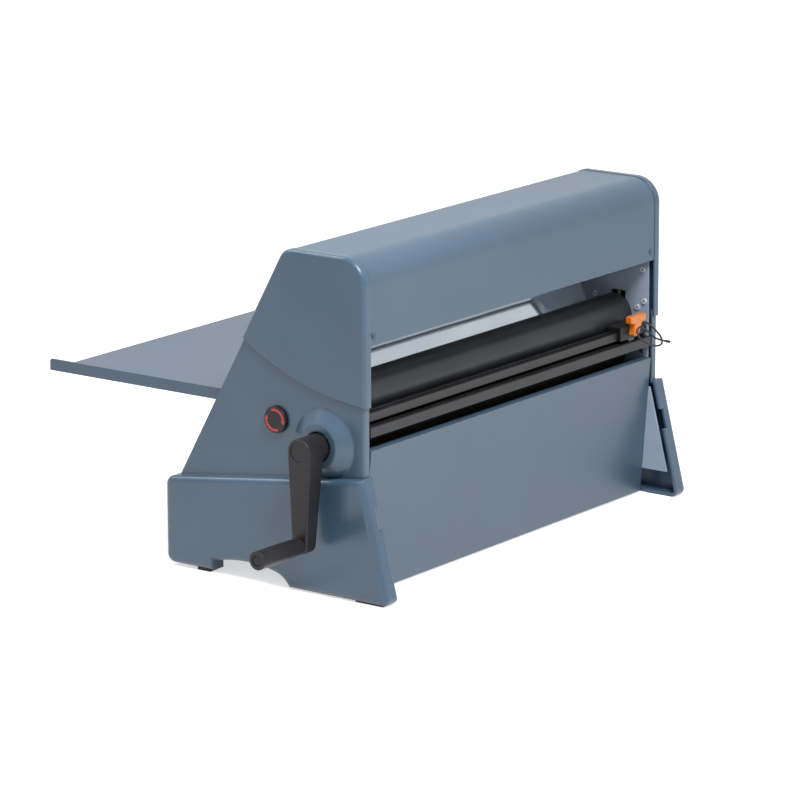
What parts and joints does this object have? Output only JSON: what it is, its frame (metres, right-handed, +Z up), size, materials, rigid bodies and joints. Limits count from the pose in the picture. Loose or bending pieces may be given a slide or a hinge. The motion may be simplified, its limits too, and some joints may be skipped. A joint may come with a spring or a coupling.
{
  "type": "cold laminator",
  "caption": "Hand-cranked cold roll laminator with two end housings, a hinged lid, nip rollers, film rolls, feed tray and a sliding cutter.",
  "frame": {"origin": "middle of the footprint, crank grip and feed tray included, at the soles of the feet", "axes": "+X to the right as seen from the front (the crank is at -X), +Y to the back towards the feed tray, +Z up"},
  "size_m": [0.8756, 0.6124, 0.472],
  "materials": {
    "housing": "grey-blue moulded plastic, fine texture",
    "plate_paint": "grey-blue powder coat on sheet steel",
    "cover_paint": "satin grey-blue paint on sheet steel",
    "tray_paint": "grey-blue powder coat on sheet steel",
    "steel": "plain and zinc-plated steel",
    "bronze": "sintered bronze",
    "rail": "dark anodised extrusion",
    "roller_rubber": "ground silicone rubber, dark",
    "black_plastic": "black moulded plastic",
    "crank_plastic": "dark moulded plastic",
    "orange_plastic": "orange moulded plastic",
    "cord": "thin black sleeved cord",
    "film": "clear self-adhesive film",
    "cardboard": "spiral-wound cardboard",
    "felt": "grey wool felt"
  },
  "bodies": {
    "root": {"left_housing": "housing", "right_housing": "housing", "left_side_plate": "plate_paint", "right_side_plate": "plate_paint", "front_panel": "plate_paint", "rear_panel": "plate_paint", "mouth_guard": "plate_paint", "base_pan": "plate_paint", "tie_bars": "steel", "tie_nuts": "steel", "feed_table": "tray_paint", "feed_tray": "tray_paint", "tray_studs": "steel", "cutter_rail": "rail", "exit_bar": "rail", "lower_roller_bushes": "bronze", "mandrel_bushes": "bronze", "pressure_springs": "roller_rubber", "lid_hinge_pins": "steel", "latch_bush": "bronze", "brake_washers": "felt", "upper_film_web": "film", "lower_film_web": "film", "rubber_feet": "roller_rubber", "plate_screws": "steel", "plate_nuts": "steel", "housing_screws": "steel", "panel_screws": "steel", "rail_screws": "steel"},
    "crank": {"lower_roller_core": "steel", "lower_roller_rubber": "roller_rubber", "drive_gear": "steel", "crank_arm": "crank_plastic", "crank_cap": "crank_plastic", "crank_screw": "steel", "grip_spindle": "steel"},
    "grip": {"crank_grip": "crank_plastic"},
    "nip_carriage": {"bearing_blocks": "black_plastic"},
    "upper_roller": {"upper_roller_core": "steel", "upper_roller_rubber": "roller_rubber", "driven_gear": "steel"},
    "upper_supply": {"upper_mandrel": "steel", "upper_core": "cardboard", "upper_film_roll": "film"},
    "lower_supply": {"lower_mandrel": "steel", "lower_core": "cardboard", "lower_film_roll": "film"},
    "lid": {"top_cover": "cover_paint", "left_lid_cheek": "housing", "right_lid_cheek": "housing", "cover_screws": "steel", "latch_stud": "steel"},
    "latch": {"latch_knob": "black_plastic", "latch_spindle": "steel", "latch_hook": "steel"},
    "cutter": {"cutter_carriage": "black_plastic", "cutter_handle": "orange_plastic", "cutter_blade": "steel", "cutter_cord": "cord"}
  },
  "joints": [
    {"name": "crank_turn", "type": "hinge", "parent": "root", "child": "crank", "pos_m": [-0.275, -0.19281, 0.2085], "axis": [1, 0, 0], "continuous": true},
    {"name": "grip_spin", "type": "hinge", "parent": "crank", "child": "grip", "pos_m": [-0.3925, -0.19281, 0.0795], "axis": [1, 0, 0], "continuous": true},
    {"name": "nip_lift", "type": "slide", "parent": "root", "child": "nip_carriage", "axis": [0, 0, 1], "range_m": [0, 0.002], "stiffness_N_per_m": 20000, "springref_m": -0.001, "deforming": ["pressure_springs"]},
    {"name": "upper_roller_turn", "type": "hinge", "parent": "nip_carriage", "child": "upper_roller", "pos_m": [0.0675, -0.20271, 0.26768], "axis": [1, 0, 0], "continuous": true},
    {"name": "upper_supply_turn", "type": "hinge", "parent": "root", "child": "upper_supply", "pos_m": [0.0675, -0.17881, 0.374], "axis": [1, 0, 0], "continuous": true},
    {"name": "lower_supply_turn", "type": "hinge", "parent": "root", "child": "lower_supply", "pos_m": [0.0675, -0.15881, 0.118], "axis": [1, 0, 0], "continuous": true},
    {"name": "lid_hinge", "type": "hinge", "parent": "root", "child": "lid", "pos_m": [0.0675, -0.07681, 0.35], "axis": [-1, 0, 0], "range_deg": [0, 75]},
    {"name": "latch_turn", "type": "hinge", "parent": "root", "child": "latch", "pos_m": [-0.2885, -0.11281, 0.2325], "axis": [1, 0, 0], "range_deg": [0, 90]},
    {"name": "cutter_slide", "type": "slide", "parent": "root", "child": "cutter", "axis": [-1, 0, 0], "range_m": [0, 0.588]}
  ],
  "couplings": [
    {"joint": "upper_roller_turn", "follows": "crank_turn", "ratio": -1},
    {"joint": "upper_supply_turn", "follows": "crank_turn", "ratio": 0.597},
    {"joint": "lower_supply_turn", "follows": "crank_turn", "ratio": -0.597}
  ]
}
